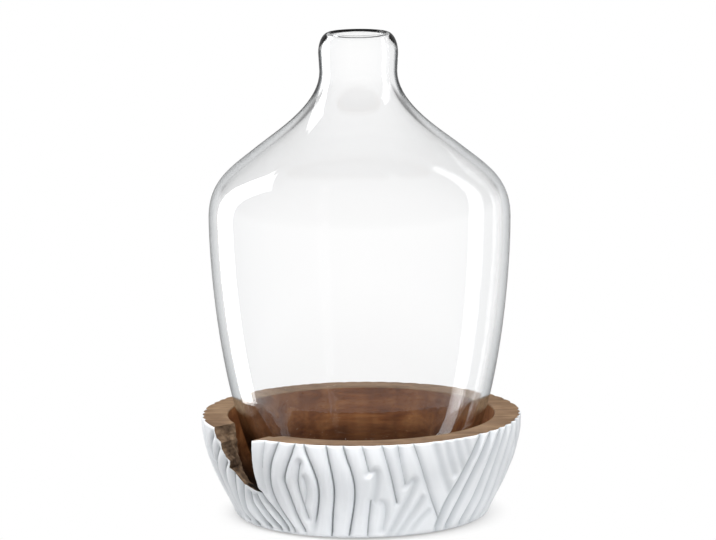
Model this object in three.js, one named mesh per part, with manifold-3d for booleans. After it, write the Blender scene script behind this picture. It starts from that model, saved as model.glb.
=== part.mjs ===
// A clear blown-glass vase that stands loose in a turned wooden base, a shallow bowl with a
// V-shaped notch broken out of its wall. Felt pads under the base keep it off the furniture.
// Sizes are in millimetres. +Z is up, the origin is on the surface that the base stands on,
// below the middle of the vase, and -Y is the front. The notch is at the front left.
import * as THREE from "three";
import { mergeVertices } from "three/addons/utils/BufferGeometryUtils.js";
import Module from "manifold-3d";

// Felt pads
const padThickness = 1.5;
const padRadius = 9;
const padEdgeMargin = 8; // from a pad's edge to the edge of the base's flat underside
const padCount = 4;

// Glass vase, each height measured from its foot
const footRadius = 60;
const footRingWidth = 10; // the flat ring that the vase stands on
const puntDepth = 3; // how far the underside is pushed up inside that ring
const heelRadius = 97.3; // the heel is the round corner at the bottom of the body
const heelHeight = 53.8;
const heelLean = 16; // degrees from upright
const bellyRadius = 118.1; // the belly is the widest place
const bellyHeight = 212.2;
const shoulderRadius = 79.6; // at the steepest place of the shoulder
const shoulderHeight = 267.5;
const shoulderLean = 51.2;
const neckRadius = 30.3; // the narrowest place of the neck
const neckHeight = 326.8;
const collarRadius = 31.1; // the neck widens a little up to the lip
const collarHeight = 341;
const lipHeight = 16; // from the collar to the top
const lipReach = 8.4; // how far the lip turns inwards
const lipThickness = 4.4;
const wallThickness = 6.2;
const bottomThickness = 9;

// Wooden base
const baseHeight = 78.5;
const floorThickness = 22.5;
const rimWidth = 20.9;
const underTaper = 24; // how much smaller the base is at the bottom than at the rim
const underLean = 23.4; // degrees from upright, of the outside at the bottom
const underRounding = 5;
const rimRounding = 1.2;
const recessTaper = 3.5; // how much narrower the recess is at its floor than at the rim
const recessFillet = 18;

// Fits
const seatGap = 0.3; // between the vase's foot and the recess floor
const recessGap = 7.4; // between the vase and the recess wall, at the rim

// Notch, as seen from outside
const notchAzimuth = 216.5; // degrees from +X, counterclockwise from above
const notchWidth = 52.4; // at the rim
const notchDepth = 45.2;
const notchTipOffset = 21.4; // from the notch's middle to the tip of the V, to the right
const notchInnerSpread = 3; // how much further to the left the notch reaches on the inside
// The notch's left side is broken, not sawn, and the break is steeper on the inside of the
// wall. Each point is a share of the way from the rim to the tip: sideways, then down.
const breakOutside = [
  [0.28, 0.26],
  [0.47, 0.66],
  [0.86, 0.95],
];
const breakInside = [
  [0.03, 0.42],
  [0.08, 0.72],
  [0.5, 0.96],
];
const cutMargin = 10; // how far the block that cuts the notch stands out of the wood

// How far each curve keeps to the direction that it starts and ends in, as shares of its span
const pulls = {
  punt: [0.5, 0.25],
  heel: [0.34, 0.46],
  body: [0.35, 0.22],
  shoulder: [0.43, 0.41],
  throat: [0.24, 0.34],
  lipOutside: [0.55, 0.22],
  lipInside: [0.15, 0.5],
  baseEdge: [0.4, 0.4],
  baseSide: [0.2, 0.4],
  recessFillet: [0.39, 0.39],
};

// How finely curves are drawn
const vaseSides = 48;
const baseSides = 72;
const padSides = 24;
const curveSteps = 6;
const lipSteps = 3;

const at = (radius, height) => new THREE.Vector2(radius, height);
const radians = THREE.MathUtils.degToRad;

const baseBottom = padThickness;
const recessFloor = baseBottom + floorThickness;
const rimTop = baseBottom + baseHeight;
const vaseFoot = recessFloor + seatGap;
const lipTop = vaseFoot + collarHeight + lipHeight;

// Draws a smooth curve from the path's end to a point. It leaves and arrives at the given
// leans, in degrees outwards from straight up.
function curveTo(path, [leavePull, arrivePull], leaveLean, end, arriveLean) {
  const start = path.currentPoint;
  const span = start.distanceTo(end);
  const towards = (lean) => at(Math.sin(radians(lean)), Math.cos(radians(lean)));
  const first = start.clone().addScaledVector(towards(leaveLean), leavePull * span);
  const second = end.clone().addScaledVector(towards(arriveLean), -arrivePull * span);
  path.bezierCurveTo(first.x, first.y, second.x, second.y, end.x, end.y);
}

// The vase's outside below the lip, from the middle of the underside up to the collar.
function vaseBodyOutline() {
  const ringRadius = footRadius - footRingWidth;
  const path = new THREE.Path();
  path.moveTo(0, vaseFoot + puntDepth);
  curveTo(path, pulls.punt, 90, at(ringRadius, vaseFoot), 90);
  path.lineTo(footRadius, vaseFoot);
  curveTo(path, pulls.heel, 90, at(heelRadius, vaseFoot + heelHeight), heelLean);
  curveTo(path, pulls.body, heelLean, at(bellyRadius, vaseFoot + bellyHeight), 0);
  const shoulder = at(shoulderRadius, vaseFoot + shoulderHeight);
  curveTo(path, pulls.shoulder, 0, shoulder, -shoulderLean);
  curveTo(path, pulls.throat, -shoulderLean, at(neckRadius, vaseFoot + neckHeight), 0);
  path.lineTo(collarRadius, vaseFoot + collarHeight);
  return path.getPoints(curveSteps);
}

// The lip, which turns inwards: its outside, its round edge and its inside.
function lipOutline() {
  const edgeRadius = collarRadius - lipReach;
  const edgeMiddle = lipTop - lipThickness / 2;
  const path = new THREE.Path();
  path.moveTo(collarRadius, lipTop - lipHeight);
  curveTo(path, pulls.lipOutside, 0, at(edgeRadius, lipTop), -90);
  path.absarc(edgeRadius, edgeMiddle, lipThickness / 2, Math.PI / 2, 1.5 * Math.PI, false);
  const insideStart = at(collarRadius - wallThickness, lipTop - lipHeight);
  curveTo(path, pulls.lipInside, 90, insideStart, 180);
  return path.getPoints(lipSteps).slice(1, -1);
}

// Moves an outline inwards by the glass's thickness, square to it. The glass is thick in the
// underside and thins out up the heel.
function glassInside(outline) {
  return outline.map((p, i) => {
    const rise = THREE.MathUtils.smoothstep(p.y, vaseFoot, vaseFoot + heelHeight);
    const thickness = THREE.MathUtils.lerp(bottomThickness, wallThickness, rise);
    if (i === 0) return at(0, p.y + thickness);
    const next = outline[Math.min(i + 1, outline.length - 1)];
    const along = next.clone().sub(outline[i - 1]).normalize();
    return at(p.x - along.y * thickness, p.y + along.x * thickness);
  });
}

// The radius of an outline where it passes a height.
function radiusAt(outline, height) {
  const i = outline.findIndex((p, n) => n > 0 && outline[n - 1].y < height && p.y >= height);
  const [below, above] = [outline[i - 1], outline[i]];
  const share = (height - below.y) / (above.y - below.y);
  return THREE.MathUtils.lerp(below.x, above.x, share);
}

// A solid turned round the Z axis from half its section.
function turned(section, sides) {
  const geometry = new THREE.LatheGeometry(section, sides);
  geometry.rotateX(Math.PI / 2);
  return geometry;
}

const vaseBody = vaseBodyOutline();

function vaseGeometry() {
  const inside = glassInside(vaseBody).reverse();
  return turned([...vaseBody, ...lipOutline(), ...inside], vaseSides);
}

const recessRadius = radiusAt(vaseBody, rimTop) + recessGap;
const recessFloorRadius = recessRadius - recessTaper;
const rimRadius = recessRadius + rimWidth;
const underRadius = rimRadius - underTaper;
const underFlatRadius = underRadius - underRounding;

// The base's outside, from the edge of the flat underside up to the rim.
function baseOutline() {
  const path = new THREE.Path();
  path.moveTo(underFlatRadius, baseBottom);
  curveTo(path, pulls.baseEdge, 90, at(underRadius, baseBottom + underRounding), underLean);
  curveTo(path, pulls.baseSide, underLean, at(rimRadius, rimTop - rimRounding), 0);
  return path.getPoints(curveSteps);
}

const baseOutside = baseOutline();

// The rim, the recess wall and the edge of the recess floor.
function recessOutline() {
  const path = new THREE.Path();
  path.moveTo(rimRadius - rimRounding, rimTop);
  path.lineTo(recessRadius + rimRounding, rimTop);
  path.lineTo(recessRadius, rimTop - rimRounding);
  path.lineTo(recessFloorRadius, recessFloor + recessFillet);
  const floorEdge = at(recessFloorRadius - recessFillet, recessFloor);
  curveTo(path, pulls.recessFillet, 180, floorEdge, -90);
  return path.getPoints(curveSteps);
}

function baseGeometry() {
  const section = [at(0, baseBottom), ...baseOutside, ...recessOutline(), at(0, recessFloor)];
  return turned(section, baseSides);
}

// The notch's outline on one face of the wall, from the left end of the rim round to the
// right end, with heights measured from the rim. It is carried on a little above the rim.
function notchOutline(left, tip, right, breakPoints) {
  const across = tip - left;
  const broken = breakPoints.map(([sideways, down]) =>
    at(left + across * sideways, -notchDepth * down),
  );
  const tipPoint = at(tip, -notchDepth);
  return [at(left, cutMargin), at(left, 0), ...broken, tipPoint, at(right, cutMargin)];
}

// The block that cuts the notch. Straight lines join the notch's outline on the wall's outer
// face to the one on its inner face, and the block goes on past both faces.
function notchCutter() {
  const half = notchWidth / 2;
  const narrowing = recessRadius / rimRadius;
  const outline = notchOutline(-half, notchTipOffset, half, breakOutside);
  const innerOutline = notchOutline(
    -half - notchInnerSpread,
    notchTipOffset * narrowing,
    half * narrowing,
    breakInside,
  );
  const outsideRadius = (p) => (p.y < 0 ? radiusAt(baseOutside, rimTop + p.y) : rimRadius);
  const onWall = (p, radius) =>
    new THREE.Vector3(p.x, -Math.sqrt(radius ** 2 - p.x ** 2), rimTop + p.y);
  const outer = outline.map((p) => onWall(p, outsideRadius(p)));
  const inner = innerOutline.map((p) => onWall(p, recessRadius));
  const pastInnerFace = 1.8; // a share of the way from the outer face to the inner one
  const rings = [
    outer.map((p) => p.clone().setY(p.y - cutMargin)),
    outer,
    outer.map((p, i) => p.clone().lerp(inner[i], pastInnerFace)),
  ];

  const count = outline.length;
  const last = count * (rings.length - 1);
  const faces = THREE.ShapeUtils.triangulateShape(outline, []);
  const triangles = faces.flatMap(([a, b, c]) => [a, b, c, last + c, last + b, last + a]);
  for (let i = 0; i < last; i++) {
    const next = (i + 1) % count === 0 ? i + 1 - count : i + 1;
    triangles.push(i, count + i, next, next, count + i, count + next);
  }
  const cutter = new THREE.BufferGeometry();
  const positions = rings.flat().flatMap((p) => p.toArray());
  cutter.setAttribute("position", new THREE.Float32BufferAttribute(positions, 3));
  cutter.setIndex(triangles);
  cutter.rotateZ(radians(notchAzimuth + 90));
  return cutter;
}

const wasm = await Module();
wasm.setup();

function solidOf(geometry) {
  const bare = geometry.clone();
  bare.deleteAttribute("normal");
  bare.deleteAttribute("uv");
  const merged = mergeVertices(bare, 1e-4);
  return new wasm.Manifold(
    new wasm.Mesh({
      numProp: 3,
      vertProperties: merged.attributes.position.array,
      triVerts: new Uint32Array(merged.index.array),
    }),
  );
}

function geometryOf(solid) {
  const mesh = solid.getMesh();
  const geometry = new THREE.BufferGeometry();
  geometry.setAttribute("position", new THREE.BufferAttribute(mesh.vertProperties, 3));
  geometry.setIndex(new THREE.BufferAttribute(mesh.triVerts, 1));
  geometry.computeVertexNormals();
  return geometry;
}

const glass = new THREE.MeshStandardMaterial({
  color: 0xf4f8f8,
  roughness: 0.03,
  metalness: 0,
  transparent: true,
  opacity: 0.3,
});
const paintedWood = new THREE.MeshStandardMaterial({
  color: 0xe6e9ed,
  roughness: 0.7,
  metalness: 0,
});
const felt = new THREE.MeshStandardMaterial({ color: 0x5c5048, roughness: 1, metalness: 0 });

function addPiece(parent, name, geometry, material) {
  const piece = new THREE.Mesh(geometry, material);
  piece.name = name;
  parent.add(piece);
  return piece;
}

const vaseOnBase = new THREE.Group();
const base = new THREE.Group();
vaseOnBase.add(base);

const baseSolid = solidOf(baseGeometry()).subtract(solidOf(notchCutter()));
addPiece(base, "wooden_base", geometryOf(baseSolid), paintedWood);

const padCircle = underFlatRadius - padEdgeMargin - padRadius;
for (let i = 0; i < padCount; i++) {
  const angle = (2 * Math.PI * (i + 0.5)) / padCount;
  const disc = new THREE.CylinderGeometry(padRadius, padRadius, padThickness, padSides);
  disc.rotateX(Math.PI / 2);
  const pad = addPiece(base, `felt_pad_${i + 1}`, disc, felt);
  pad.position.set(padCircle * Math.cos(angle), padCircle * Math.sin(angle), padThickness / 2);
}

addPiece(vaseOnBase, "glass_vase", vaseGeometry(), glass);

export default vaseOnBase;
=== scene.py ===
# %% [markdown]
# A clear blown-glass vase stands loose in a turned wooden base. The base is carved all round with
# lines like the grain of old wood, painted matt white outside, and left as bare brown wood on the
# rim and inside. A piece of its wall is broken out at the front left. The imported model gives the
# size and place of every part, so it is loaded first and never changed.

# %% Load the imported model
import math

import bmesh
import bpy
import numpy as np
from mathutils import Matrix, Vector, geometry, noise


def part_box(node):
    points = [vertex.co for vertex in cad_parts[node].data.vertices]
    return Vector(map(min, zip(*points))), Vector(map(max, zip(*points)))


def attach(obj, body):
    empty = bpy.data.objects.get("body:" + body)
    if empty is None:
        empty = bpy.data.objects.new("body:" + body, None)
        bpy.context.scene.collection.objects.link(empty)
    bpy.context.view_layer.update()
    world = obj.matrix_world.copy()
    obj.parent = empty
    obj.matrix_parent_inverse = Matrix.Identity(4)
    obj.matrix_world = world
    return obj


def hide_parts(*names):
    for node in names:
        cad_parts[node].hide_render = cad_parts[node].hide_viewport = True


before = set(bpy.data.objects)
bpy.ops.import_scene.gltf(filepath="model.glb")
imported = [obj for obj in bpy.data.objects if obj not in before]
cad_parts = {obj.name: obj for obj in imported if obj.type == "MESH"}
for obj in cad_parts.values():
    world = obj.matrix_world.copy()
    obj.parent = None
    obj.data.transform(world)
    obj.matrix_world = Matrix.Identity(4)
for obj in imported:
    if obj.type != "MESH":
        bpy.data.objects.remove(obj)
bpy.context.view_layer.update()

# %% [markdown]
# Everything is measured in metres, but a maker thinks in millimetres, so one value converts them.
# The heights of the rim and the vase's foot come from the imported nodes, and most shape numbers below
# them are those that the solids were turned from. Only the painted edge of the rim is rounder.

# %% Sizes
MM = 0.001
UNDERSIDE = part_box("wooden_base")[0].z
RIM_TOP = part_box("wooden_base")[1].z
RIM_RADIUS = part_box("wooden_base")[1].x
VASE_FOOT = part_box("glass_vase")[0].z
VASE_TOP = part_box("glass_vase")[1].z
SEAT_GAP = 0.3 * MM
FLOOR_TOP = VASE_FOOT - SEAT_GAP
RIM_WIDTH = 20.9 * MM
UNDER_TAPER = 24 * MM
UNDER_RADIUS = RIM_RADIUS - UNDER_TAPER
UNDER_ROUNDING = 5 * MM
UNDER_LEAN = 23.4
RIM_ROUNDING = 1.2 * MM
PAINTED_ROUNDING = 2.2 * MM
RECESS_RADIUS = RIM_RADIUS - RIM_WIDTH
RECESS_TAPER = 3.5 * MM
RECESS_FLOOR_RADIUS = RECESS_RADIUS - RECESS_TAPER
RECESS_FILLET = 18 * MM
print("rim radius, mm:", round(RIM_RADIUS / MM, 2), "rim top, mm:", round(RIM_TOP / MM, 2))

# %% [markdown]
# The camera comes first, because the carved lines at the front and the edge of the break are placed
# by where they lie in the picture. It stands 3.3 m in front of the vase and a little above it, with
# a long lens, which keeps the sides of the vase nearly parallel. It is turned half a degree about
# its own axis.

# %% Camera
PICTURE_WIDTH = 716
PICTURE_HEIGHT = 540
SENSOR = 36
EYE = Vector((0, -3.29, 0.7628))
AIM = Vector((-0.00157, 0, 0.1938))
ROLL = math.radians(-0.5)
FOCAL_PIXELS = 4257

camera = bpy.data.objects.new("camera", bpy.data.cameras.new("camera"))
bpy.context.scene.collection.objects.link(camera)
camera.data.sensor_width = SENSOR
camera.data.lens = FOCAL_PIXELS / PICTURE_WIDTH * SENSOR
turn = (AIM - EYE).to_track_quat("-Z", "Y").to_matrix() @ Matrix.Rotation(ROLL, 3, "Z")
camera.matrix_world = Matrix.Translation(EYE) @ turn.to_4x4()
bpy.context.scene.camera = camera
bpy.context.scene.view_settings.view_transform = "Standard"
print("lens, mm:", round(camera.data.lens, 1))


def sight_line(x, y):
    """The direction from the camera through a pixel of the picture."""
    across = (x - PICTURE_WIDTH / 2) / FOCAL_PIXELS
    down = (y - PICTURE_HEIGHT / 2) / FOCAL_PIXELS
    return (turn @ Vector((across, -down, -1))).normalized()


# %% [markdown]
# A few small helpers serve every material and piece. The first turns a colour as a picture shows it
# into the linear numbers that a shader wants, and the second adds a shader node with its settings
# and links. Four more use it for the nodes that are needed most. The last links a finished mesh to
# the scene and hangs it on its body.

# %% Helpers
SHARP_FROM = math.radians(40)


def linear(hex_colour):
    """A colour such as "#8a6b4f" as linear red, green, blue and alpha."""
    levels = [int(hex_colour[i : i + 2], 16) / 255 for i in (1, 3, 5)]
    return [v / 12.92 if v <= 0.04045 else ((v + 0.055) / 1.055) ** 2.4 for v in levels] + [1]


def add(tree, kind, inputs=None, **settings):
    """Adds a node to a tree, sets it up, and links or fills its inputs."""
    made = tree.nodes.new(kind)
    for name, value in settings.items():
        setattr(made, name, value)
    for socket, value in (inputs or {}).items():
        if isinstance(value, bpy.types.NodeSocket):
            tree.links.new(value, made.inputs[socket])
        else:
            made.inputs[socket].default_value = value
    return made


def mix(tree, share, first, second, **settings):
    """A colour between two others, by a share."""
    inputs = {0: share, 6: first, 7: second}
    return add(tree, "ShaderNodeMix", inputs, data_type="RGBA", **settings).outputs[2]


def stretch(tree, value, low, high, to_low=0.0, to_high=1.0, **settings):
    """A value from low to high as one from to_low to to_high, held at both ends."""
    inputs = {0: value, 1: low, 2: high, 3: to_low, 4: to_high}
    return add(tree, "ShaderNodeMapRange", inputs, **settings).outputs[0]


def calculate(tree, operation, first, second):
    """The product of two values, the larger of them, or whatever else the operation says."""
    return add(tree, "ShaderNodeMath", {0: first, 1: second}, operation=operation).outputs[0]


def per_metre(size):
    """The pattern scale that gives features of a size in millimetres."""
    return 1 / (size * MM)


def pattern(tree, place, size, detail, distortion=0.0):
    """Noise with features of a size in millimetres."""
    inputs = {"Vector": place, "Scale": per_metre(size), "Detail": detail, "Distortion": distortion}
    return add(tree, "ShaderNodeTexNoise", inputs).outputs[0]


def empty_material(name):
    """A material with nothing in it but its output."""
    made = bpy.data.materials.new(name)
    made.use_nodes = True
    made.node_tree.nodes.clear()
    return made, made.node_tree


def finish_piece(name, bm, materials, body, *stands_for):
    """Makes a mesh object of a bmesh, smooth but for its sharp edges, riding on a CAD body."""
    mesh = bpy.data.meshes.new(name)
    bm.to_mesh(mesh)
    bm.free()
    piece = bpy.data.objects.new(name, mesh)
    bpy.context.scene.collection.objects.link(piece)
    for material in materials:
        mesh.materials.append(material)
    mesh.polygons.foreach_set("use_smooth", [True] * len(mesh.polygons))
    mesh.set_sharp_from_angle(angle=SHARP_FROM)
    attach(piece, body)
    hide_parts(*stands_for)
    print(name, "has", len(mesh.polygons), "faces")
    return piece


# %% [markdown]
# Both big pieces are round, so each is drawn as half its section and spun about the upright axis.
# The section is made of a few curves. A curve leaves and arrives at a given lean from upright, in
# degrees, and its pulls say for what share of its span it keeps to each of the two.

# %% Curves of the sections
WELD = 0.002 * MM
UP, OUTWARDS, DOWN, INWARDS = 0, 90, 180, -90


def at(radius, height):
    """A point of a half section."""
    return Vector((radius, 0, height))


def leaning(lean):
    """The direction that leans outwards from upright by so many degrees."""
    return at(math.sin(math.radians(lean)), math.cos(math.radians(lean)))


def curve(start, end, leave_lean, arrive_lean, pulls, steps):
    """Points along a smooth curve from start to end, without the start."""
    span = (end - start).length
    first = start + leaning(leave_lean) * pulls[0] * span
    second = end - leaning(arrive_lean) * pulls[1] * span
    return geometry.interpolate_bezier(start, first, second, end, steps + 1)[1:]


def spin_section(bm, points, sides, mark=None, marks=()):
    """Joins the points of a half section with edges and spins them into a closed solid.
    Only an eighth is spun, and doubled three times, because that is much faster.
    A mark is a number that each point carries with it round the solid."""
    layer = bm.verts.layers.float.new(mark) if mark else None
    verts = [bm.verts.new(p) for p in points]
    edges = [bm.edges.new(pair) for pair in zip(verts, verts[1:])]
    for vert, number in zip(verts, marks):
        vert[layer] = number
    eighth = math.pi / 4
    bmesh.ops.spin(bm, geom=verts + edges, cent=(0, 0, 0), axis=(0, 0, 1), angle=eighth, steps=sides // 8)
    for turned in (1, 2, 4):
        copied = bmesh.ops.duplicate(bm, geom=bm.verts[:] + bm.edges[:] + bm.faces[:])["geom"]
        copied = [g for g in copied if isinstance(g, bmesh.types.BMVert)]
        bmesh.ops.rotate(bm, verts=copied, cent=(0, 0, 0), matrix=Matrix.Rotation(turned * eighth, 3, "Z"))
    bmesh.ops.remove_doubles(bm, verts=bm.verts, dist=WELD)
    bmesh.ops.recalc_face_normals(bm, faces=bm.faces)


# %% [markdown]
# The base was turned from one block. Its outside bulges up and out from a flat underside to a
# nearly plumb rim. The outside gets a fine mesh, because it is carved later, and the rest a coarse
# one.

# %% Section of the base
BASE_SIDES = 800
OUTSIDE_STEPS = 84
RIM_STEPS = 10
EVEN_PULLS = (0.4, 0.4)
OUTSIDE_PULLS = (0.2, 0.4)
FILLET_PULLS = (0.39, 0.39)

under_edge = at(UNDER_RADIUS - UNDER_ROUNDING, UNDERSIDE)
outside_foot = at(UNDER_RADIUS, UNDERSIDE + UNDER_ROUNDING)
outside_top = at(RIM_RADIUS, RIM_TOP - PAINTED_ROUNDING)
under_curve = [under_edge] + curve(under_edge, outside_foot, OUTWARDS, UNDER_LEAN, EVEN_PULLS, steps=6)
outside_curve = curve(outside_foot, outside_top, UNDER_LEAN, UP, OUTSIDE_PULLS, OUTSIDE_STEPS)

rim_outer_edge = at(RIM_RADIUS - PAINTED_ROUNDING, RIM_TOP)
rim_outer = curve(outside_top, rim_outer_edge, UP, INWARDS, EVEN_PULLS, steps=5)
rim_inner_edge = at(RECESS_RADIUS + RIM_ROUNDING, RIM_TOP)
rim_flat = [rim_outer[-1].lerp(rim_inner_edge, i / RIM_STEPS) for i in range(1, RIM_STEPS)]
recess_top = at(RECESS_RADIUS, RIM_TOP - RIM_ROUNDING)
rim_inner = [rim_inner_edge] + curve(rim_inner_edge, recess_top, INWARDS, DOWN, EVEN_PULLS, steps=3)
fillet_top = at(RECESS_FLOOR_RADIUS, FLOOR_TOP + RECESS_FILLET)
floor_edge = at(RECESS_FLOOR_RADIUS - RECESS_FILLET, FLOOR_TOP)
fillet = [fillet_top] + curve(fillet_top, floor_edge, DOWN, INWARDS, FILLET_PULLS, steps=8)

profile = under_curve + outside_curve
base_section = [at(0, UNDERSIDE)] + profile + rim_outer + rim_flat + rim_inner + fillet
base_section.append(at(0, FLOOR_TOP))
print("points in the section of the base:", len(base_section))

profile_heights = np.array([p.z for p in profile])
profile_radii = np.array([p.x for p in profile])


def outside_radius(height):
    """The uncarved radius of the base at a height."""
    return np.interp(height, profile_heights, profile_radii)


# %% [markdown]
# The carving follows generic wood grain: long lines that swing round a knot, short ones that end
# against others, and one family that runs across the rest. At the front, each line is written down
# by where it crosses the picture, and a sight line carries each point onto the wood, which it meets
# 3.1 to 3.4 m from the camera. Before the points stand the V's share of its full depth, the V's
# half width in mm, and how deep the soft valley round it is against the usual valley.

# %% Carved lines at the front
FRONT_LINES = [
    (0.6, 0.95, 0.5, [(263.9, 443), (261.6, 458), (261.3, 468)]),
    (0.25, 1.5, 0.5, [(261.3, 468), (262, 479), (265, 492)]),
    (0.9, 0.95, 0.9, [
        (277, 444), (270, 461), (268.5, 472), (269, 484), (271.3, 493), (276, 504), (283, 515), (295, 532),
    ]),
    (0.9, 0.95, 0.9, [
        (294, 445), (290, 456), (285.5, 467), (282.5, 479.5), (285, 487), (289, 497), (298, 520.5),
        (305, 532),
    ]),
    (0.7, 0.95, 0.8, [(299, 464), (297.2, 477), (297, 484), (299, 492), (303.5, 506), (308, 519)]),
    (0.5, 0.95, 0.6, [(303, 479), (306, 488), (306, 496), (304, 505)]),
    (1.0, 0.95, 0.9, [
        (303.5, 446), (306, 456), (311, 467), (316, 479.5), (318.5, 491), (318, 503), (316, 517), (313, 536),
    ]),
    (1.0, 0.95, 0.9, [
        (325.9, 447), (328.2, 461), (331, 472.5), (333.5, 486), (334, 498), (332, 518), (331.6, 536),
    ]),
    (1.0, 0.95, 0.9, [
        (343, 447), (346.5, 460), (351.5, 472.5), (354.6, 486), (355, 498), (353, 513), (349, 536),
    ]),
    (0.8, 0.95, 0.8, [(361.8, 446), (365.3, 458), (369, 472)]),
    (0.3, 1.5, 0.8, [(369, 473.5), (376.5, 471), (377.4, 484), (374, 501)]),
    (0.8, 0.95, 0.8, [(371, 501), (368.8, 520), (367.6, 536)]),
    (0.9, 0.95, 0.9, [(382, 445), (388.5, 466), (393.5, 485), (397.5, 503.5)]),
    (0.4, 0.95, 0.8, [(381.4, 502), (385.4, 504), (385.8, 514), (383, 530)]),
    (0.7, 0.95, 0.9, [(398, 445), (401, 462), (406, 485)]),
    (0.35, 1.5, 0.9, [(406, 486), (416, 478.5), (412.5, 492), (402, 511), (388.5, 536)]),
    (0.35, 1.5, 0.9, [(423, 498), (414, 512), (397, 536)]),
    (0.35, 1.5, 0.8, [(429, 511), (418, 521), (406, 536)]),
    (0.8, 0.95, 0.9, [(414.3, 445), (420, 460), (426, 480), (433, 501), (440, 519)]),
    (0.3, 1.5, 0.9, [(435.3, 441), (440, 456), (445, 477), (452, 493)]),
    (0.35, 1.5, 0.8, [(447, 440), (451, 458), (455.5, 474)]),
    (0.35, 1.5, 0.8, [(457.5, 439), (461, 456), (465, 469)]),
    (0.35, 1.5, 0.7, [(466, 438), (471, 455)]),
    (0.55, 2.0, 1.3, [
        (482.4, 433), (478, 447), (468, 467), (459.5, 483), (451, 496), (443, 513), (436, 531),
    ]),
    (0.55, 2.0, 1.3, [(492.5, 431), (486.5, 448), (477.5, 467), (468.5, 485), (459, 504), (447, 528)]),
    (0.55, 2.0, 1.3, [(502.5, 428), (496, 447), (488, 467), (482, 482), (474, 500), (461, 524)]),
    (0.55, 2.0, 1.3, [(508.5, 426), (503, 443), (496, 464), (489, 484), (483, 500), (472, 520)]),
    (0.55, 2.0, 1.3, [(514, 425), (509.5, 443), (503, 463), (496, 484), (490, 500), (482, 514)]),
    (0.55, 2.0, 1.3, [(518, 424), (515, 441), (509.5, 459), (502.5, 479), (496, 495), (490, 507)]),
    (0.85, 1.3, 1.35, [(259.5, 493), (264, 500), (271, 508), (278, 516.5), (288, 531)]),
    (0.85, 1.3, 1.35, [(254.5, 495), (257.5, 501), (263, 509.5), (270, 518.5), (281, 530)]),
    (0.85, 1.3, 1.35, [(248.4, 492), (250, 501), (256, 510.5), (263, 520.5), (271, 528)]),
    (0.85, 1.3, 1.35, [(240.9, 484), (241.5, 498), (244.5, 509), (252.5, 520), (259, 525)]),
    (1.0, 1.4, 0.95, [(233, 473), (234, 487), (237.5, 501), (243, 513), (249, 520)]),
    (1.0, 1.4, 0.95, [(225.4, 461), (223, 469), (226, 482), (230.5, 492), (236.5, 505), (241, 514)]),
    (1.0, 1.4, 0.95, [(218, 447), (215, 460), (219, 474), (225, 487), (231, 499)]),
    (1.0, 1.4, 0.95, [(212.2, 434), (210, 443), (212.2, 456), (217, 468), (221, 478)]),
]
NEAR_RIM = 6 * MM
NEAREST_WOOD = 3.1
FARTHEST_WOOD = 3.4
SIGHT_STEP = 0.0005


def on_outside(x, y):
    """The point of the uncarved outside that a pixel shows, or where its sight line comes nearest."""
    way = sight_line(x, y)
    nearest = None
    gap = math.inf
    for distance in np.arange(NEAREST_WOOD, FARTHEST_WOOD, SIGHT_STEP):
        point = EYE + way * float(distance)
        miss = math.hypot(point.x, point.y) - float(outside_radius(point.z))
        if miss < gap:
            nearest = point
            gap = miss
        if miss <= 0:
            break
    height = min(max(nearest.z, UNDERSIDE), RIM_TOP)
    flat = Vector((nearest.x, nearest.y, 0)).normalized() * float(outside_radius(height))
    return Vector((flat.x, flat.y, height))


def rounded(line):
    """A line with its corners cut twice, as a gouge swings through them."""
    for _ in range(2):
        cut = [line[0]]
        for start, end in zip(line, line[1:]):
            cut += [start.lerp(end, 0.25), start.lerp(end, 0.75)]
        line = cut + [line[-1]]
    return line


def up_to_rim(line):
    """A line that starts just below the rim, carried on up to it."""
    below = RIM_TOP - line[0].z
    if below > NEAR_RIM:
        return line
    step = (line[0] - line[1]) / (line[0].z - line[1].z)
    return [line[0] + step * below] + line


front_lines = []
for v_share, v_width, valley_share, pixels in FRONT_LINES:
    line = up_to_rim(rounded([on_outside(*pixel) for pixel in pixels]))
    front_lines.append((v_share, v_width * MM, valley_share, line))
print("lines carved at the front:", len(front_lines))

# %% [markdown]
# Round the back, which the picture doesn't show, lines of about the same spacing are drawn by a
# loop. They slant one way at the sides and the other way in the middle, and their depth and width
# vary. Every fifth runs only from the rim to about the middle, and every seventh only from there to
# the underside. Two knots push them apart. Angles are in degrees, from the front round to the
# right, and heights are shares of the way down from the rim. A knot has its angle, its height and
# the degrees by which it pushes lines apart. A line inside a knot has its bulge, as a share of that
# push, and its reach up and down.

# %% Carved lines round the back
BACK_START = 84
BACK_END = 284
LINE_SPACING = 5.6
LINE_STEPS = 12
SLANT = 13
SLANT_PACE = 1.8
SWING = 2.2
SWING_PACE = 2.6
SWING_DRIFT = 21
FROM_RIM = (0, 0.52)
FROM_UNDERSIDE = (0.45, 1)
BACK_VALLEY = 1.1
KNOTS = [(128, 0.55, 7.5), (232, 0.4, 6)]
KNOT_HALF_WIDTH = 13
KNOT_HALF_HEIGHT = 0.34
KNOT_LINES = [(-0.65, 0.24), (0.65, 0.24), (0.14, 0.1)]
KNOT_CUT = (0.8, 1.1 * MM, 0.8)
KNOT_STEPS = 6


def grain_degrees(start, share):
    """How far round the base a long line has swung, at a share of the way down from the rim."""
    slant = SLANT * math.cos(math.radians(SLANT_PACE * (start - BACK_START)))
    swing = SWING * math.sin(SWING_PACE * share + start / SWING_DRIFT)
    place = start + slant * (share - 0.5) + swing
    for middle, knot_share, push in KNOTS:
        across = (place - middle) / KNOT_HALF_WIDTH
        down = (share - knot_share) / KNOT_HALF_HEIGHT
        side = 1 if across >= 0 else -1
        place += side * push * math.exp(-(across**2) - down**2)
    return place


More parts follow.
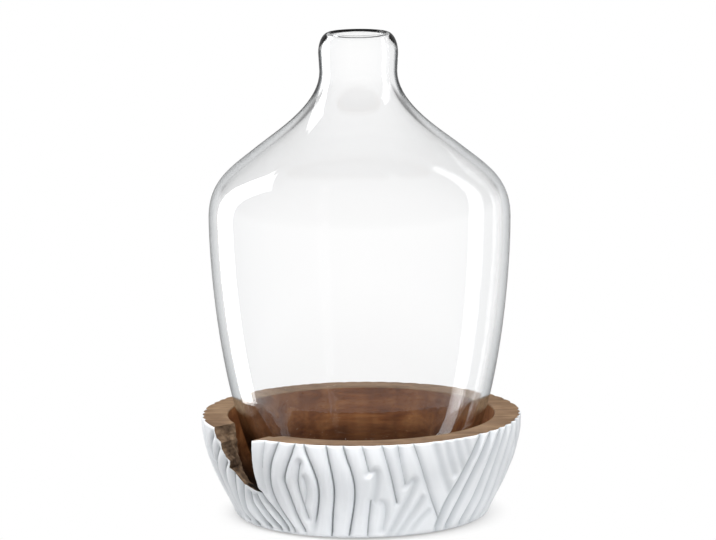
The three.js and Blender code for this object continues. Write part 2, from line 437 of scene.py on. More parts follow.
def on_base(degrees, share):
    """A point of the uncarved outside. Degrees go from the front round to the right."""
    height = RIM_TOP + share * (UNDERSIDE - RIM_TOP)
    radius = float(outside_radius(height))
    around = math.radians(degrees)
    return Vector((radius * math.sin(around), -radius * math.cos(around), height))


def varied(number, middle, spread, pace):
    """A value that differs from line to line."""
    return middle + spread * math.sin(pace * number)


back_lines = []
line_count = round((BACK_END - BACK_START) / LINE_SPACING)
for number in range(line_count + 1):
    start = BACK_START + number * (BACK_END - BACK_START) / line_count
    ends = (0, 1)
    if number % 5 == 2:
        ends = FROM_RIM
    if number % 7 == 4:
        ends = FROM_UNDERSIDE
    shares = [ends[0] + (ends[1] - ends[0]) * i / LINE_STEPS for i in range(LINE_STEPS + 1)]
    line = [on_base(grain_degrees(start, share), share) for share in shares]
    v_share = varied(number, middle=0.6, spread=0.3, pace=2.3)
    v_width = varied(number, middle=1.35, spread=0.4, pace=1.7) * MM
    back_lines.append((v_share, v_width, BACK_VALLEY, line))
for middle, knot_share, push in KNOTS:
    for bulge, reach in KNOT_LINES:
        steps = [i / KNOT_STEPS for i in range(-KNOT_STEPS, KNOT_STEPS + 1)]
        side = [on_base(middle + bulge * push * (1 - t * t), knot_share + reach * t) for t in steps]
        back_lines.append((*KNOT_CUT, side))
print("lines carved round the back:", len(back_lines))

# %% [markdown]
# Each line is a narrow V at the bottom of a wide valley, so that what is left between two lines is
# a rounded ridge, as a gouge leaves it. The deeper the V, the more pointed its valley. The depth at
# a point comes from how far it is from the lines near it, and the deepest of their cuts counts.
# Wood is only taken away, and the tops of the widest ridges stay as they were turned, so the base
# keeps its size.

# %% Depth of the carving
V_DEPTH = 1.2 * MM
VALLEY_DEPTH = 2.7 * MM
VALLEY_HALF_WIDTH = 6.5 * MM
NO_LENGTH = 1e-12


def carving(places):
    """For each row of places on the uncarved outside, how much of a V and of a valley is there."""
    cut = np.zeros(len(places))
    valley = np.zeros(len(places))
    for v_share, v_width, valley_share, line in front_lines + back_lines:
        points = np.array(line)
        low = points.min(axis=0) - VALLEY_HALF_WIDTH
        high = points.max(axis=0) + VALLEY_HALF_WIDTH
        close = np.flatnonzero(((places > low) & (places < high)).all(axis=1))
        nearest = np.full(len(close), np.inf)
        for start, end in zip(points, points[1:]):
            along = end - start
            share = np.clip((places[close] - start) @ along / max(along @ along, NO_LENGTH), 0, 1)
            gap = np.linalg.norm(places[close] - start - share[:, None] * along, axis=1)
            nearest = np.minimum(nearest, gap)
        cut[close] = np.maximum(cut[close], v_share * np.exp(-((nearest / v_width) ** 2)))
        across = np.clip(nearest / VALLEY_HALF_WIDTH, 0, 1)
        pointed = (1 - across) ** 2
        soft = 0.5 + 0.5 * np.cos(math.pi * across)
        shape = v_share * pointed + (1 - v_share) * soft
        valley[close] = np.maximum(valley[close], valley_share * shape)
    return cut, valley


def on_uncarved(places):
    """Places moved straight out to the uncarved outside."""
    spread = outside_radius(places[:, 2]) / np.hypot(places[:, 0], places[:, 1])
    return places * np.stack([spread, spread, np.ones(len(places))], axis=1)


# %% [markdown]
# The section is spun into a solid, and its faces are sorted into paint, bare rim and bare inside.
# Then every point near the outside is pushed in by the depth of the carving there. The push fades
# out at the underside and from the outside inwards, and on top of the rim it is half as deep. To
# the right of the notch the rim is worn down, and its top is a little uneven all round.

# %% Turn and carve the base
PAINT, RIM_WOOD, INSIDE_WOOD, BROKEN_WOOD = range(4)
PAINT_REACH = 1.1 * PAINTED_ROUNDING
BARE_EDGE = 0.4 * MM
CARVED_FROM = UNDERSIDE + 0.1 * MM
TOP_FROM = RIM_TOP - 0.01 * MM
RIM_REACH = 9 * MM
AT_RIM = 0.5
WORN_WIDTH = 13 * MM
WORN_DEPTH = 2 * MM
WORN_REACH = 10 * MM
WORN_INTO_NOTCH = 12 * MM
RIM_WAVE = 0.35 * MM
RIM_WAVES_PER_METRE = 60
NOTCH_TURN = math.radians(216.5 + 90)
NOTCH_HALF = 26.2 * MM

bm = bmesh.new()
spin_section(bm, base_section, BASE_SIDES)
for face in bm.faces:
    middle = face.calc_center_median()
    radius = middle.xy.length
    if radius > outside_radius(middle.z) - PAINT_REACH and middle.z < RIM_TOP - BARE_EDGE:
        face.material_index = PAINT
    elif middle.z > RIM_TOP - RIM_ROUNDING:
        face.material_index = RIM_WOOD
    else:
        face.material_index = INSIDE_WOOD

carved = []
for vert in bm.verts:
    if vert.co.z > CARVED_FROM and vert.co.xy.length > outside_radius(vert.co.z) - RIM_REACH:
        carved.append(vert)
cut, valley = carving(on_uncarved(np.array([v.co for v in carved])))
depths = V_DEPTH * cut + VALLEY_DEPTH * valley
for vert, depth in zip(carved, depths):
    below_edge = min(1, (vert.co.z - UNDERSIDE) / UNDER_ROUNDING)
    across_rim = 1 - (float(outside_radius(vert.co.z)) - vert.co.xy.length) / RIM_REACH
    across_rim *= AT_RIM + (1 - AT_RIM) * min(1, (RIM_TOP - vert.co.z) / RIM_REACH)
    vert.co -= Vector((vert.co.x, vert.co.y, 0)).normalized() * float(depth) * below_edge * across_rim
for vert in bm.verts:
    beside = (Matrix.Rotation(-NOTCH_TURN, 3, "Z") @ vert.co).x - NOTCH_HALF
    if vert.co.z > RIM_TOP - WORN_REACH and vert.co.y < 0 and -WORN_INTO_NOTCH < beside < WORN_WIDTH:
        near_top = 1 - (RIM_TOP - vert.co.z) / WORN_REACH
        vert.co.z -= WORN_DEPTH * near_top * (1 - max(0, beside) / WORN_WIDTH) ** 2
    if vert.co.z > TOP_FROM and vert.co.xy.length < RIM_RADIUS - 2 * PAINTED_ROUNDING:
        vert.co.z -= RIM_WAVE * (0.5 + 0.5 * noise.noise(vert.co * RIM_WAVES_PER_METRE))
print("carved points:", len(carved), "deepest, mm:", round(float(depths.max()) / MM, 2))

# %% [markdown]
# The notch was broken out, not sawn: its left side is a rough, stepped break and its right side a
# nearly plumb one. A block with the notch's outline cuts it. The break's outer edge is written down
# by where it crosses the picture, and its inner edge by how far down and how far across it is. The
# block's sides are divided and pushed about by noise first, so that the break is rough, and the
# paint ends in a ragged edge.

# %% Block that cuts the notch
NOTCH_DEPTH = 45.2 * MM
INNER_DEPTH = 48.6 * MM
NOTCH_TIP = 21.4 * MM
INNER_SPREAD = 3 * MM
NARROWING = RECESS_RADIUS / RIM_RADIUS
ABOVE = 10 * MM
PAST_INSIDE = 1.8
BREAK_OUTSIDE = [
    (216.5, 437), (221.5, 443), (222, 449), (226.5, 457), (230, 461), (229.5, 468), (237, 474.5), (245, 484),
]
BREAK_INSIDE = [(0, 0), (0.35, 0.05), (0.6, 0.12), (0.8, 0.36), (0.98, 0.64), (1, 1)]
ROUGHNESS = 1.6 * MM
ROUGH_SIZE = 5 * MM
ROUGH_FALL_OFF = 1
ROUGH_FINENESS = 2.2
ROUGH_LAYERS = 3
ROUGH_FROM_TIP = 8 * MM
ROUGH_AT_PLUMB_SIDE = 0.25
WALL_CUTS = 14
OUTLINE_CUTS = [6, 8, 8, 6, 8, 5, 6, 8, 9, 8, 36, 8]


def notch_outline(left, tip, right, depth, broken, radius_at):
    """The notch's outline on one face of the wall, as seen from outside, with points along it."""
    corners = [(left, ABOVE), (left, 0)] + broken + [(tip, -depth), (right, ABOVE)]
    places = []
    for (x, z), (next_x, next_z), cuts in zip(corners, corners[1:] + corners[:1], OUTLINE_CUTS):
        places += [(x + (next_x - x) * i / cuts, z + (next_z - z) * i / cuts) for i in range(cuts)]
    points = []
    for x, below in places:
        radius = radius_at(RIM_TOP + min(below, 0))
        points.append(Vector((x, -math.sqrt(radius**2 - x**2), RIM_TOP + below)))
    return points


left = -NOTCH_HALF - INNER_SPREAD
tip = NOTCH_TIP * NARROWING
right = NOTCH_HALF * NARROWING
into_notch = Matrix.Rotation(-NOTCH_TURN, 3, "Z")
broken_outside = [into_notch @ on_outside(*pixel) for pixel in BREAK_OUTSIDE]
broken_outside = [(p.x, p.z - RIM_TOP) for p in broken_outside]
broken_inside = []
for x, below in broken_outside:
    down = -below / NOTCH_DEPTH
    across = float(np.interp(down, *zip(*BREAK_INSIDE)))
    broken_inside.append((left + (tip - left) * across, below * INNER_DEPTH / NOTCH_DEPTH))
outer_outline = notch_outline(
    -NOTCH_HALF, NOTCH_TIP, NOTCH_HALF, NOTCH_DEPTH, broken_outside, lambda z: float(outside_radius(z))
)
inner_outline = notch_outline(left, tip, right, INNER_DEPTH, broken_inside, lambda z: RECESS_RADIUS)
print("break outside, mm:", [(round(x / MM, 1), round(z / MM, 1)) for x, z in broken_outside])
rings = [
    [p - Vector((0, ABOVE, 0)) for p in outer_outline],
    outer_outline,
    [p.lerp(q, PAST_INSIDE) for p, q in zip(outer_outline, inner_outline)],
]

block = bmesh.new()
loops = []
for ring in rings:
    verts = [block.verts.new(p) for p in ring]
    loops.append([block.edges.new(pair) for pair in zip(verts, verts[1:] + verts[:1])])
for near, far in zip(loops, loops[1:]):
    bmesh.ops.bridge_loops(block, edges=near + far)
across_wall = [e for e in block.edges if not any(e in loop for loop in loops)]
bmesh.ops.subdivide_edges(block, edges=across_wall, cuts=WALL_CUTS, use_grid_fill=True)
ends = [e for e in block.edges if e.is_boundary]
bmesh.ops.triangulate(block, faces=bmesh.ops.holes_fill(block, edges=ends, sides=0)["faces"])
bmesh.ops.recalc_face_normals(block, faces=block.faces)
block.normal_update()
for vert in block.verts:
    left_of_tip = min(1, max(0, (NOTCH_TIP - vert.co.x) / ROUGH_FROM_TIP))
    rough = noise.fractal(vert.co / ROUGH_SIZE, ROUGH_FALL_OFF, ROUGH_FINENESS, ROUGH_LAYERS)
    rough *= ROUGH_AT_PLUMB_SIDE + (1 - ROUGH_AT_PLUMB_SIDE) * left_of_tip
    vert.co += vert.normal * ROUGHNESS * rough
bmesh.ops.rotate(block, verts=block.verts, cent=(0, 0, 0), matrix=Matrix.Rotation(NOTCH_TURN, 3, "Z"))
for face in block.faces:
    face.material_index = BROKEN_WOOD
print("block that cuts the notch:", len(block.faces), "faces")

# %% [markdown]
# The cut leaves slivers, small holes and pairs of faces that lie back to back. The slivers are
# dissolved, the holes filled and the pairs taken out, so that the base is closed again. Then each
# painted point gets its shares of a V and of a valley, which the paint's material reads.

# %% Cut the notch
SLIVER = 0.001 * MM


def cut_away(bm, block, slots):
    """The solid of one bmesh with that of the other taken out of it, as a new bmesh."""
    solids = []
    for name, source in (("whole", bm), ("block", block)):
        mesh = bpy.data.meshes.new(name)
        source.to_mesh(mesh)
        source.free()
        for material in slots:
            mesh.materials.append(material)
        solids.append(bpy.data.objects.new(name, mesh))
        bpy.context.scene.collection.objects.link(solids[-1])
    cut = solids[0].modifiers.new("cut", "BOOLEAN")
    cut.operation = "DIFFERENCE"
    cut.solver = "EXACT"
    cut.object = solids[1]
    result = solids[0].evaluated_get(bpy.context.evaluated_depsgraph_get())
    remaining = bmesh.new()
    remaining.from_mesh(result.to_mesh())
    result.to_mesh_clear()
    for solid in solids:
        bpy.data.objects.remove(solid)
    return remaining


base_materials = [empty_material(name)[0] for name in (
    "matt_white_paint_on_carved_wood",
    "sanded_bare_wood_rim",
    "turned_bare_brown_wood",
    "broken_raw_wood",
)]
bm = cut_away(bm, block, base_materials)
bmesh.ops.remove_doubles(bm, verts=bm.verts, dist=SLIVER)
bmesh.ops.dissolve_degenerate(bm, edges=bm.edges, dist=SLIVER)
bmesh.ops.holes_fill(bm, edges=[e for e in bm.edges if e.is_boundary], sides=0)
bmesh.ops.triangulate(bm, faces=[f for f in bm.faces if len(f.verts) > 4])
same_corners = {}
for face in bm.faces:
    same_corners.setdefault(frozenset(face.verts), []).append(face)
flaps = [face for twins in same_corners.values() if len(twins) > 1 for face in twins]
bmesh.ops.delete(bm, geom=flaps, context="FACES")
print("flaps removed:", len(flaps), "open edges left:", sum(not e.is_manifold for e in bm.edges))
print("triangles of the base:", sum(len(f.verts) - 2 for f in bm.faces))
line_layer = bm.verts.layers.float.new("in_line")
valley_layer = bm.verts.layers.float.new("in_valley")
painted = list({v for f in bm.faces if f.material_index == PAINT for v in f.verts})
for vert, cut, valley in zip(painted, *carving(on_uncarved(np.array([v.co for v in painted])))):
    vert[line_layer] = float(cut)
    vert[valley_layer] = float(valley)
base = finish_piece("carved_wooden_base", bm, base_materials, "base", "wooden_base")

# %% [markdown]
# The paint is a matt white emulsion brushed over the carved wood. It is thin, so fine upright wood
# fibres show through it. Shade is painted into it as well: it is a little greyer down in the valleys,
# and darker at the bottom of the V cuts. The shares that each point carries tell where those are.

# %% Paint on the carved outside
tree = base_materials[PAINT].node_tree
place = add(tree, "ShaderNodeTexCoord").outputs["Object"]
in_line = add(tree, "ShaderNodeAttribute", attribute_name="in_line").outputs["Fac"]
cut_shade = stretch(tree, in_line, low=0.4, high=1.0)
in_valley = add(tree, "ShaderNodeAttribute", attribute_name="in_valley").outputs["Fac"]
valley_shade = stretch(tree, in_valley, low=0.1, high=1.5)
upright = add(tree, "ShaderNodeMapping", {"Vector": place, "Scale": (1, 1, 0.06)}).outputs[0]
fibres = pattern(tree, upright, size=1.6, detail=3)
clouds = pattern(tree, place, size=22, detail=2)
tone = mix(tree, clouds, linear("#e6e9ed"), linear("#f4f6f8"))
# painted shade: the valleys are painted greyer
tone = mix(tree, valley_shade, tone, linear("#bfc4c8"))
# painted shade: the bottom of each V cut is painted dark grey
colour = mix(tree, cut_shade, tone, linear("#7a7e81"))
bump = add(tree, "ShaderNodeBump", {"Height": fibres, "Strength": 0.7, "Distance": 0.35 * MM}).outputs[0]
shader = add(tree, "ShaderNodeBsdfPrincipled", {"Base Color": colour, "Roughness": 0.62, "Normal": bump})
add(tree, "ShaderNodeOutputMaterial", {"Surface": shader.outputs[0]})

# %% [markdown]
# The bare wood is a brown tropical hardwood with its grain lying across the base. The rim was
# sanded and looks tan, and the break shows raw, split fibres. The turned inside is darker and redder;
# its darkness is partly painted shade of the deep recess. One function makes the three, with the sizes
# and colours of each. Little light gets down to the recess floor, into the gap behind the notch and
# into the notch's tip, so shade is painted there by darkening the wood's colour. A dim place has its
# middle and, in mm from there, where it is dimmest and where it ends, and then the share of its
# brightness that the wood keeps.

# %% Bare wood
NOWHERE = ((0, 0, 0), 1, 2, 1.0)
GAP_BEHIND_NOTCH = ((-88, -10, 24), 20, 58, 0.08)
TIP_OF_NOTCH = ((-76, -67.5, 34), 12.5, 15.5, 0.04)
SHADED_UP_TO = FLOOR_TOP + 6 * MM
ALONG_GRAIN = (0.07, 1, 1)
ALONG_WALL = (1, 1, 0.15)
STREAK_GRAINS = 6
DARKEST_AT = 0.34
LIGHTEST_AT = 0.66


def bare_wood(slot, dark, middle, light, roughness, grain, relief, at_floor, lit_from, dim_place):
    """Wood with grain lines along X, streaks of colour and open pores, darker down in the recess.
    It keeps a share of its brightness at the recess floor, and has all of it from a height in mm."""
    tree = base_materials[slot].node_tree
    place = add(tree, "ShaderNodeTexCoord").outputs["Object"]
    along = add(tree, "ShaderNodeMapping", {"Vector": place, "Scale": ALONG_GRAIN}).outputs[0]
    streaks = pattern(tree, along, size=grain * STREAK_GRAINS, detail=5, distortion=0.8)
    lines = pattern(tree, along, size=grain, detail=2)
    blotches = pattern(tree, place, size=30, detail=2)
    upright = add(tree, "ShaderNodeMapping", {"Vector": place, "Scale": ALONG_WALL}).outputs[0]
    fibres = pattern(tree, upright, size=9, detail=2)
    mixed = add(tree, "ShaderNodeMix", {0: 0.4, 2: streaks, 3: blotches}, data_type="FLOAT").outputs[0]
    mixed = add(tree, "ShaderNodeMix", {0: 0.25, 2: mixed, 3: fibres}, data_type="FLOAT").outputs[0]
    ramp = add(tree, "ShaderNodeValToRGB", {0: mixed})
    ramp.color_ramp.elements[0].position = DARKEST_AT
    ramp.color_ramp.elements[0].color = linear(dark)
    ramp.color_ramp.elements[1].position = LIGHTEST_AT
    ramp.color_ramp.elements[1].color = linear(light)
    ramp.color_ramp.elements.new(0.5).color = linear(middle)
    brightness = stretch(tree, lines, low=0.35, high=0.6, to_low=0.78)
    height = add(tree, "ShaderNodeSeparateXYZ", {0: place}).outputs["Z"]
    # painted shade: the colour darkens down towards the recess floor
    in_recess = stretch(tree, height, SHADED_UP_TO, FLOOR_TOP + lit_from * MM, to_low=at_floor)
    brightness = calculate(tree, "MULTIPLY", brightness, in_recess)
    # painted shade: the colour darkens round a dim place
    dim_middle, near, far, dimmest = dim_place
    inputs = {0: place, 1: Vector(dim_middle) * MM}
    away = add(tree, "ShaderNodeVectorMath", inputs, operation="DISTANCE").outputs["Value"]
    away = stretch(tree, away, near * MM, far * MM, to_low=dimmest)
    brightness = calculate(tree, "MULTIPLY", brightness, away)
    shade = add(tree, "ShaderNodeCombineColor", {0: brightness, 1: brightness, 2: brightness}).outputs[0]
    colour = mix(tree, 1.0, ramp.outputs[0], shade, blend_type="MULTIPLY")
    bump = add(tree, "ShaderNodeBump", {"Height": lines, "Strength": 0.6, "Distance": relief * MM}).outputs[0]
    shader = add(tree, "ShaderNodeBsdfPrincipled", {
        "Base Color": colour, "Roughness": roughness, "Specular IOR Level": 0.2, "Normal": bump,
    })
    add(tree, "ShaderNodeOutputMaterial", {"Surface": shader.outputs[0]})


bare_wood(
    RIM_WOOD, "#604a37", "#7a614a", "#92795e",
    roughness=0.6, grain=1.2, relief=0.15, at_floor=1.0, lit_from=34, dim_place=NOWHERE,
)
# the inside's darker colour is partly painted shade of the deep recess
bare_wood(
    INSIDE_WOOD, "#46230e", "#693e1f", "#875a35",
    roughness=0.7, grain=1.5, relief=0.2, at_floor=0.25, lit_from=30, dim_place=GAP_BEHIND_NOTCH,
)
bare_wood(
    BROKEN_WOOD, "#362a21", "#675443", "#9c846b",
    roughness=0.85, grain=1.8, relief=1.2, at_floor=0.95, lit_from=17, dim_place=TIP_OF_NOTCH,
)

# %% [markdown]
# Under the base, four round felt pads keep it off the furniture. Each is punched from pressed wool
# felt, so its edge is a little soft and its surface is matted. A disc is extruded, its two edges
# are rounded by a bevel, and its side is pushed about by fine noise.

# %% Felt pads
PAD_SIDES = 40
PAD_ROUNDING = 0.35 * MM
CAP_INSET = 0.3
FUZZ = 0.06 * MM
FUZZ_SIZE = 1.5
FUZZ_FROM_EDGE = 0.1 * MM
LEVEL = 0.01 * MM

felt, tree = empty_material("pressed_wool_felt")
place = add(tree, "ShaderNodeTexCoord").outputs["Object"]
fuzz = pattern(tree, place, size=0.5, detail=4)
tufts = pattern(tree, place, size=3, detail=2)
colour = mix(tree, tufts, linear("#4f443c"), linear("#6b5e54"))
bump = add(tree, "ShaderNodeBump", {"Height": fuzz, "Strength": 0.8, "Distance": 0.3 * MM}).outputs[0]
shader = add(tree, "ShaderNodeBsdfPrincipled", {
    "Base Color": colour, "Roughness": 1.0, "Sheen Weight": 0.4, "Normal": bump,
})
add(tree, "ShaderNodeOutputMaterial", {"Surface": shader.outputs[0]})

for number in range(1, 5):
    low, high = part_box(f"felt_pad_{number}")
    radius = (high.x - low.x) / 2
    middle = (low + high) / 2
    bm = bmesh.new()
    bmesh.ops.create_circle(bm, cap_ends=True, segments=PAD_SIDES, radius=radius - FUZZ)
    top = bmesh.ops.extrude_face_region(bm, geom=list(bm.faces))["geom"]
    top = [g for g in top if isinstance(g, bmesh.types.BMVert)]
    bmesh.ops.translate(bm, verts=top, vec=(0, 0, high.z - low.z))
    bmesh.ops.recalc_face_normals(bm, faces=bm.faces)
    rounds = [e for e in bm.edges if abs(e.verts[0].co.z - e.verts[1].co.z) < LEVEL]
    bmesh.ops.bevel(
        bm, geom=rounds, offset=PAD_ROUNDING, segments=3, profile=0.5, affect="EDGES", material=-1
    )
    for cap in [f for f in bm.faces if len(f.verts) > 4]:
        bmesh.ops.inset_individual(bm, faces=[cap], thickness=radius * CAP_INSET)
    bmesh.ops.poke(bm, faces=[f for f in bm.faces if len(f.verts) > 4])
    bmesh.ops.translate(bm, verts=bm.verts, vec=(middle.x, middle.y, low.z))
    bm.normal_update()
    for vert in bm.verts:
        if low.z + FUZZ_FROM_EDGE < vert.co.z < high.z - FUZZ_FROM_EDGE:
            vert.co += vert.normal * FUZZ * noise.noise(vert.co * per_metre(FUZZ_SIZE))
    pad = finish_piece(f"pressed_felt_pad_{number}", bm, [felt], "base", f"felt_pad_{number}")

# %% [markdown]
# The vase was blown: a wall about 6 mm thick, thicker in the underside, with a punt pushed up in
# the middle of the foot and a lip turned inwards at the mouth. Its section is the outside from the
# punt up to the collar, the lip, and the inside back down, which is the outside moved in by the
# wall. Each point carries a mark that says whether it is on the outside.

# %% Vase
VASE_SIDES = 320
FOOT_RADIUS = 60 * MM
RING_WIDTH = 10 * MM
PUNT_DEPTH = 3 * MM
HEEL = at(97.3 * MM, VASE_FOOT + 53.8 * MM)
HEEL_LEAN = 16
BELLY = at(118.1 * MM, VASE_FOOT + 212.2 * MM)
SHOULDER = at(79.6 * MM, VASE_FOOT + 267.5 * MM)
SHOULDER_LEAN = -51.2
NECK = at(30.3 * MM, VASE_FOOT + 326.8 * MM)
COLLAR = at(31.1 * MM, VASE_FOOT + 341 * MM)
LIP_REACH = 8.4 * MM
LIP_THICKNESS = 2.6 * MM
LIP_STEPS = 12
BEAD_STEPS = 8
WALL = 6.2 * MM
BOTTOM = 9 * MM
PUNT_PULLS = (0.5, 0.25)
HEEL_PULLS = (0.34, 0.46)
BELLY_PULLS = (0.35, 0.22)
SHOULDER_PULLS = (0.43, 0.41)
NECK_PULLS = (0.24, 0.34)
LIP_PULLS = (0.55, 0.22)
LIP_INSIDE_PULLS = (0.15, 0.5)

foot_ring = at(FOOT_RADIUS - RING_WIDTH, VASE_FOOT)
foot_edge = at(FOOT_RADIUS, VASE_FOOT)
outline = [at(0, VASE_FOOT + PUNT_DEPTH)]
outline += curve(outline[-1], foot_ring, OUTWARDS, OUTWARDS, PUNT_PULLS, steps=8)
outline += [foot_ring.lerp(foot_edge, 0.5), foot_edge]
outline += curve(foot_edge, HEEL, OUTWARDS, HEEL_LEAN, HEEL_PULLS, steps=16)
outline += curve(HEEL, BELLY, HEEL_LEAN, UP, BELLY_PULLS, steps=18)
outline += curve(BELLY, SHOULDER, UP, SHOULDER_LEAN, SHOULDER_PULLS, steps=20)
outline += curve(SHOULDER, NECK, SHOULDER_LEAN, UP, NECK_PULLS, steps=18)
outline += [NECK.lerp(COLLAR, 0.5), COLLAR]

lip_edge = at(COLLAR.x - LIP_REACH, VASE_TOP)
lip = curve(COLLAR, lip_edge, UP, INWARDS, LIP_PULLS, LIP_STEPS)
half = LIP_THICKNESS / 2
for i in range(1, BEAD_STEPS + 1):
    angle = math.pi / 2 + math.pi * i / BEAD_STEPS
    lip.append(at(lip_edge.x + half * math.cos(angle), VASE_TOP - half + half * math.sin(angle)))
inside_top = at(COLLAR.x - WALL, COLLAR.z)
lip += curve(lip[-1], inside_top, OUTWARDS, DOWN, LIP_INSIDE_PULLS, steps=8)[:-1]

inside = []
for i, point in enumerate(outline):
    rise = min(1, max(0, (point.z - VASE_FOOT) / (HEEL.z - VASE_FOOT)))
    rise = rise * rise * (3 - 2 * rise)
    thickness = BOTTOM + (WALL - BOTTOM) * rise
    if i == 0:
        inside.append(point + Vector((0, 0, thickness)))
        continue
    along = (outline[min(i + 1, len(outline) - 1)] - outline[i - 1]).normalized()
    inside.append(point + Vector((-along.z, 0, along.x)) * thickness)

section = outline + lip + inside[::-1]
outside_points = len(outline) + LIP_STEPS
marks = [1.0] * outside_points + [0.0] * (len(section) - outside_points)
bm = bmesh.new()
spin_section(bm, section, VASE_SIDES, "outside", marks)
print("vase section points:", len(section), "open edges:", sum(not e.is_manifold for e in bm.edges))

# %% [markdown]
# The glass is clear and fire-polished, so it is perfectly smooth. Its index is a little under the
# 1.5 of soda-lime glass, which makes the bands at its edges as wide as they should be. Where the
# outside turns away from the eye, one looks along the thick wall instead of through it, and clear
# glass looks grey there. That grey is painted shade: Layer Weight finds the band on the outside and
# paints it into the glass's colour, nearly black at the neck. It differs at the neck, the lip and
# the heel, and fades from one to the next between two heights in metres.

# %% Clear glass
GLASS_INDEX = 1.42
NECK_FADE = (0.31, 0.335)
LIP_FADE = (0.368, 0.377)
HEEL_FADE = (0.17, 0.09)

glass, tree = empty_material("clear_blown_glass")
outside = add(tree, "ShaderNodeAttribute", attribute_name="outside").outputs["Fac"]
facing = add(tree, "ShaderNodeLayerWeight", {"Blend": 0.5}).outputs["Facing"]
place = add(tree, "ShaderNodeTexCoord").outputs["Object"]
height = add(tree, "ShaderNodeSeparateXYZ", {0: place}).outputs["Z"]
at_neck = stretch(tree, height, *NECK_FADE)
at_lip = stretch(tree, height, *LIP_FADE)
at_heel = stretch(tree, height, *HEEL_FADE)


# painted shade: each band is a grey painted into the glass's colour
def edge_band(stops):
    """Greys of the glass by how far the surface turns away from the eye."""
    ramp = add(tree, "ShaderNodeValToRGB", {0: facing})
    ramp.color_ramp.elements.remove(ramp.color_ramp.elements[1])
    for turned, grey in stops:
        element = ramp.color_ramp.elements[0] if turned == 0 else ramp.color_ramp.elements.new(turned)
        element.color = linear(grey)
    return ramp.outputs[0]


body_band = edge_band([
    (0, "#ffffff"), (0.66, "#f4f5f6"), (0.75, "#dfe3e5"), (0.88, "#c4c9cc"), (1.0, "#b6bbbe"),
])
neck_band = edge_band([
    (0, "#ffffff"), (0.55, "#f0f1f2"), (0.64, "#5a5e61"), (0.7, "#0c0d0e"), (1.0, "#0c0d0e"),
])
lip_band = edge_band([(0, "#ffffff"), (0.76, "#f4f5f6"), (0.86, "#7d8184"), (1.0, "#3a3d40")])
heel_band = edge_band([
    (0, "#ffffff"), (0.6, "#f4f5f6"), (0.69, "#bcc1c4"), (0.8, "#9a9fa2"), (0.9, "#3a3d40"),
])
band = mix(tree, at_neck, body_band, neck_band)
band = mix(tree, at_lip, band, lip_band)
band = mix(tree, at_heel, band, heel_band)
# painted shade: the edge bands are painted into the colour of the glass's outside
edge_shade = mix(tree, outside, linear("#ffffff"), band)
shader = add(tree, "ShaderNodeBsdfPrincipled", {
    "Base Color": edge_shade, "Roughness": 0.0, "IOR": GLASS_INDEX, "Transmission Weight": 1.0,
})
add(tree, "ShaderNodeOutputMaterial", {"Surface": shader.outputs[0]})
vase = finish_piece("blown_glass_vase", bm, [glass], "vase", "glass_vase")
vase.visible_shadow = False
vase.visible_diffuse = False

# %% [markdown]
# The floor is a plain pale disc. Near the base it is lit by the lamps and takes its shadow. Further
# out it fades to plain white, also where it is seen in or through the glass, so its edge is lost
# against the white around it.

# %% Floor
FLOOR_RADIUS = 0.16
FADE_START = 0.07
FADE_END = 0.12
FLOOR_SIDES = 96

floor_paint, tree = empty_material("matt_white_floor")
place = add(tree, "ShaderNodeTexCoord").outputs["Object"]
distance = add(tree, "ShaderNodeVectorMath", {0: place}, operation="LENGTH").outputs["Value"]
far = stretch(tree, distance, FADE_START, FADE_END, interpolation_type="SMOOTHSTEP")
rays = add(tree, "ShaderNodeLightPath").outputs
seen = calculate(tree, "MAXIMUM", rays["Is Camera Ray"], rays["Is Glossy Ray"])
seen = calculate(tree, "MAXIMUM", seen, rays["Is Transmission Ray"])
share = calculate(tree, "MULTIPLY", seen, far)
matt = add(tree, "ShaderNodeBsdfDiffuse", {"Color": linear("#cfcfcf")}).outputs[0]
white = add(tree, "ShaderNodeEmission", {"Color": (1, 1, 1, 1), "Strength": 1.0}).outputs[0]
mixed = add(tree, "ShaderNodeMixShader", {0: share, 1: matt, 2: white}).outputs[0]
add(tree, "ShaderNodeOutputMaterial", {"Surface": mixed})

bm = bmesh.new()
bmesh.ops.create_circle(bm, cap_ends=True, segments=FLOOR_SIDES, radius=FLOOR_RADIUS)
floor_mesh = bpy.data.meshes.new("floor")
bm.to_mesh(floor_mesh)
bm.free()
floor_mesh.materials.append(floor_paint)
floor = bpy.data.objects.new("floor", floor_mesh)
bpy.context.scene.collection.objects.link(floor)

# %% [markdown]
# The world is a white studio. Surfaces get an even, soft light from it, and the eye sees it plain
# white. What the glass mirrors or bends the view to depends on the direction, though, as in a real
# studio with grey walls and a grey ceiling. Through the glass it is white straight behind the vase
# and below the horizon, and greyer to the sides and higher up. That draws the shape of the glass.

# %% World
EVEN_LIGHT = 0.45

world = bpy.data.worlds.new("studio")
world.use_nodes = True
bpy.context.scene.world = world
tree = world.node_tree
tree.nodes.clear()
rays = add(tree, "ShaderNodeLightPath").outputs
way = add(tree, "ShaderNodeTexCoord").outputs["Generated"]
way = add(tree, "ShaderNodeSeparateXYZ", {0: way}).outputs


def greys(axis, stops):
    """Grey levels of the world by one part of the direction, from -1 to 1."""
    shifted = stretch(tree, way[axis], low=-1.0, high=1.0)
    ramp = add(tree, "ShaderNodeValToRGB", {0: shifted})
    elements = ramp.color_ramp.elements
    elements.remove(elements[1])
    for place, grey in stops:
        element = elements[0] if place == -1 else elements.new((place + 1) / 2)
        element.color = (grey, grey, grey, 1)
    return ramp.outputs[0]


def background(colour, strength=1.0):
    """Light of a colour from all round."""
    return add(tree, "ShaderNodeBackground", {"Color": colour, "Strength": strength}).outputs[0]


def for_rays(kind, otherwise, light):
    """One light for the rays of a kind, and another for the rest."""
    return add(tree, "ShaderNodeMixShader", {0: rays[kind], 1: otherwise, 2: light}).outputs[0]


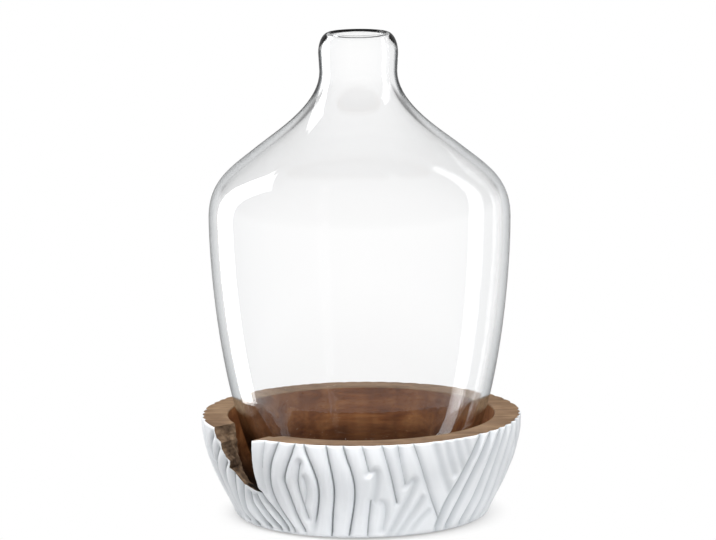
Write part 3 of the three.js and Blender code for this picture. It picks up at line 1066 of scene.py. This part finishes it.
mirrored = calculate(
    tree, "MULTIPLY",
    greys("Y", [(-1, 0.6), (-0.35, 0.6), (-0.05, 0.5), (0.15, 0.4), (0.4, 0.3)]),
    greys("Z", [(-1, 0.15), (-0.6, 0.2), (-0.35, 1), (0.1, 1), (0.5, 0.5), (0.8, 0.5), (1, 0.7)]),
)
behind_or_low = calculate(
    tree, "MAXIMUM",
    greys("Y", [(-1, 0.1), (-0.2, 0.15), (0.3, 0.25), (0.86, 0.32), (0.93, 0.9), (0.96, 1)]),
    greys("Z", [(-1, 1), (0.05, 1), (0.2, 0.3), (0.35, 0.1), (1, 0.2)]),
)
overhead = greys("Z", [(-1, 1), (0.4, 1), (0.6, 0.5), (0.8, 0.35), (1, 0.6)])
through = calculate(tree, "MULTIPLY", behind_or_low, overhead)
mixed = for_rays("Is Glossy Ray", background((1, 1, 1, 1), EVEN_LIGHT), background(mirrored))
mixed = for_rays("Is Transmission Ray", mixed, background(through))
mixed = for_rays("Is Camera Ray", mixed, background((1, 1, 1, 1)))
add(tree, "ShaderNodeOutputWorld", {"Surface": mixed})

# %% [markdown]
# A tall strip at the left shows only in the glass and gives it a long white band. The other lamps
# only give light: one overhead, a strong one at the front right and a weak one at the front left,
# which light the carving from the side so that its ridges show, and one behind for the back.

# %% Lamps
BASE_MIDDLE = (0, 0, 0.05)


def soft_box(name, place, aim, width, height, power, only_in_glass=False):
    """A rectangular lamp turned towards a point. It shows only in the glass, or only gives light."""
    lamp = bpy.data.lights.new(name, "AREA")
    lamp.shape = "RECTANGLE"
    lamp.size = width
    lamp.size_y = height
    lamp.energy = power
    made = bpy.data.objects.new(name, lamp)
    bpy.context.scene.collection.objects.link(made)
    way = Vector(aim) - Vector(place)
    made.matrix_world = Matrix.Translation(place) @ way.to_track_quat("-Z", "Y").to_matrix().to_4x4()
    made.visible_camera = False
    made.visible_diffuse = not only_in_glass
    made.visible_transmission = only_in_glass
    made.visible_glossy = only_in_glass


soft_box(
    "left_strip", (-0.677, 0.39, 0.09), (0, 0, 0.09), width=0.27, height=1.98, power=8, only_in_glass=True
)
soft_box("overhead", (-0.45, -0.75, 1.7), BASE_MIDDLE, width=0.8, height=0.6, power=34)
soft_box("front_right", (1.5, -1.6, 0.9), BASE_MIDDLE, width=0.8, height=0.8, power=24)
soft_box("front_left", (-1.6, -1.4, 0.9), BASE_MIDDLE, width=0.8, height=0.8, power=4)
soft_box("back", (0.3, 2.2, 0.9), BASE_MIDDLE, width=1.0, height=0.8, power=20)
